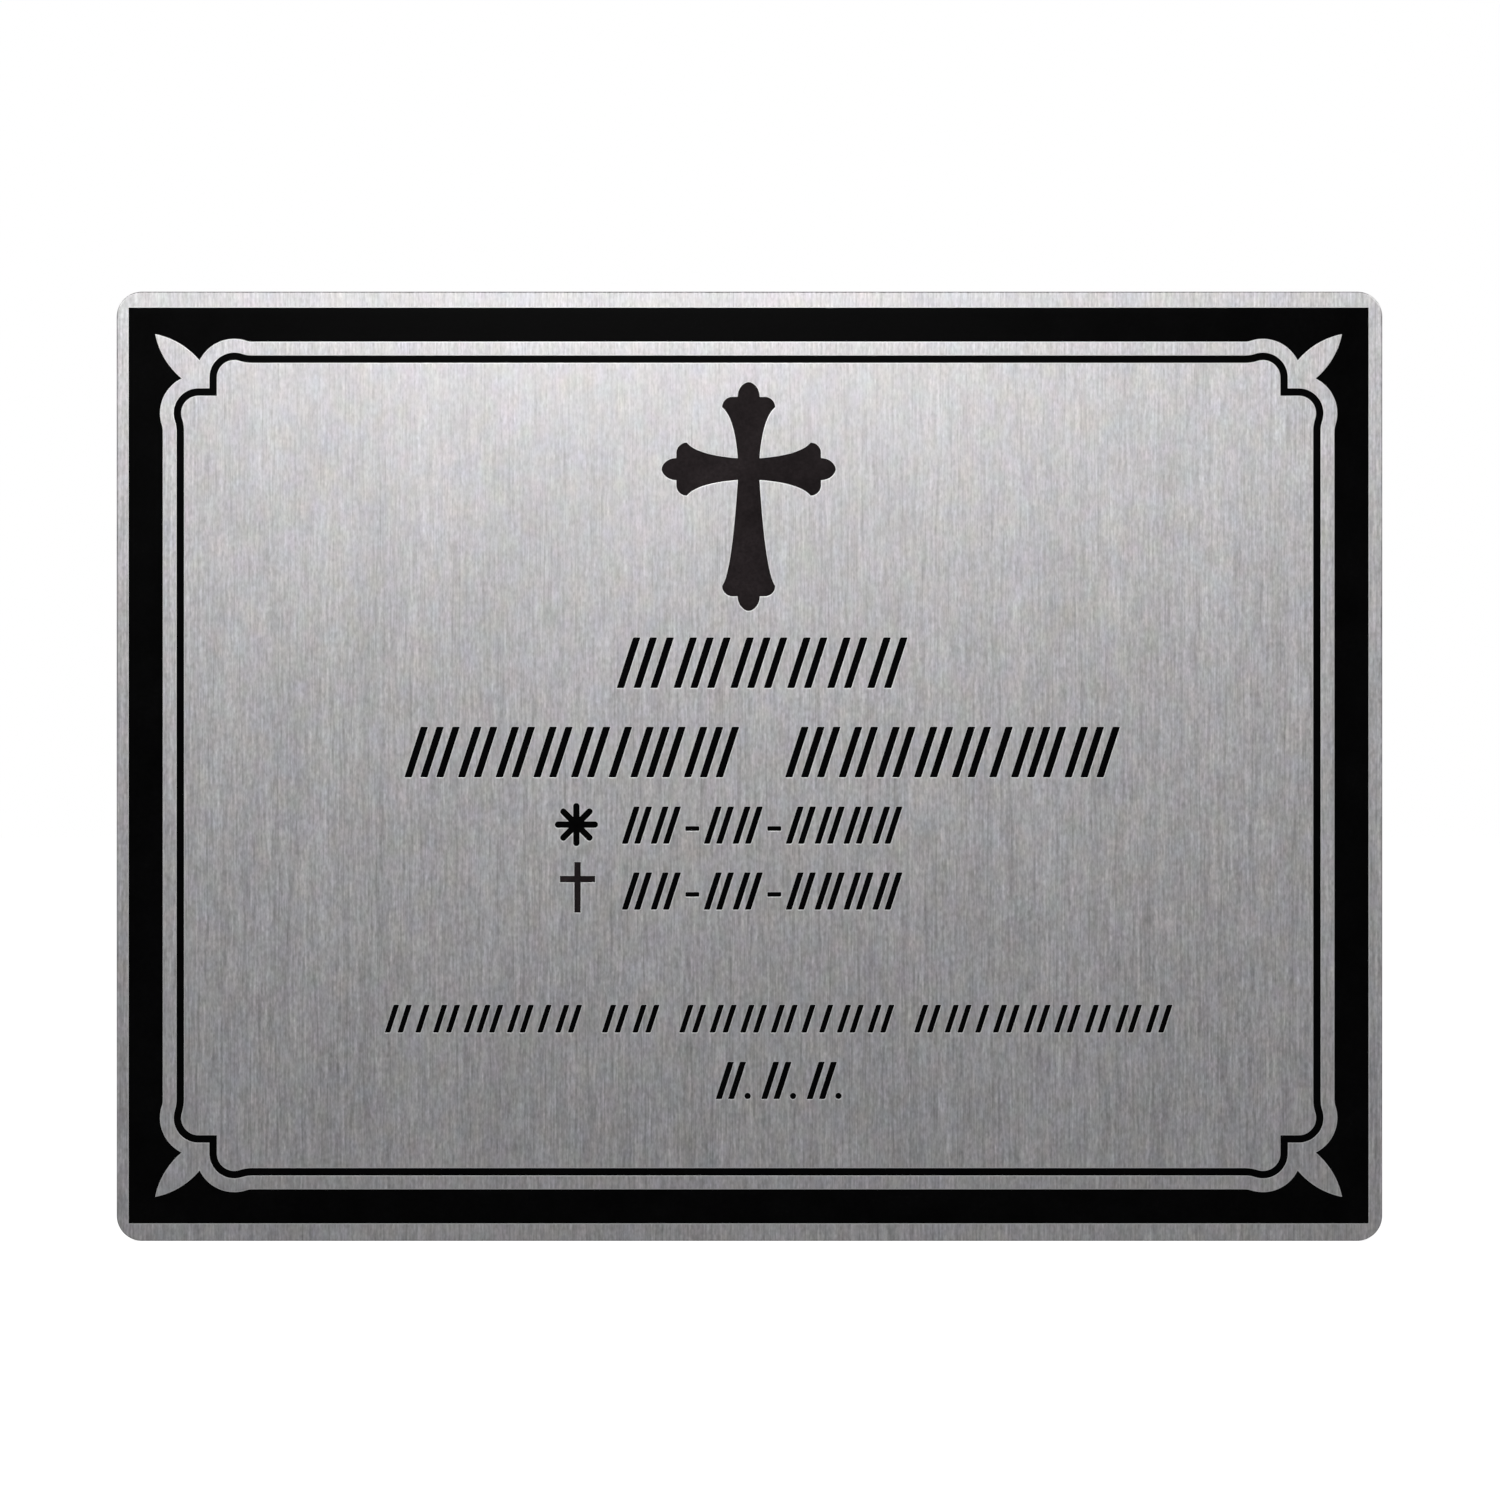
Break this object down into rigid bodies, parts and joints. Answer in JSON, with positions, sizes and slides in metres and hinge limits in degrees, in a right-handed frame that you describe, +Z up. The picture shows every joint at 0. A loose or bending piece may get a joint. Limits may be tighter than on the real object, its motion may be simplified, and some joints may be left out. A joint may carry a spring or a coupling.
{
  "type": "engraved aluminium plaque",
  "caption": "Flat brushed aluminium plaque with rounded corners, a deep border with leaf corners, a cross and rows of plain strokes, all engraved and filled black.",
  "frame": {"origin": "the middle of the plaque's back face, where it is glued to a wall or a stone", "axes": "+X to the right along the front as it is read, +Y out of the back face into the wall, +Z up; the engraved front faces -Y"},
  "size_m": [0.2, 0.002, 0.15],
  "materials": {
    "brushed_aluminium": "brushed upright, satin",
    "black_enamel": "satin black enamel paint, in the engraving only"
  },
  "bodies": {
    "root": {"plaque_plate": "brushed_aluminium"}
  },
  "joints": []
}
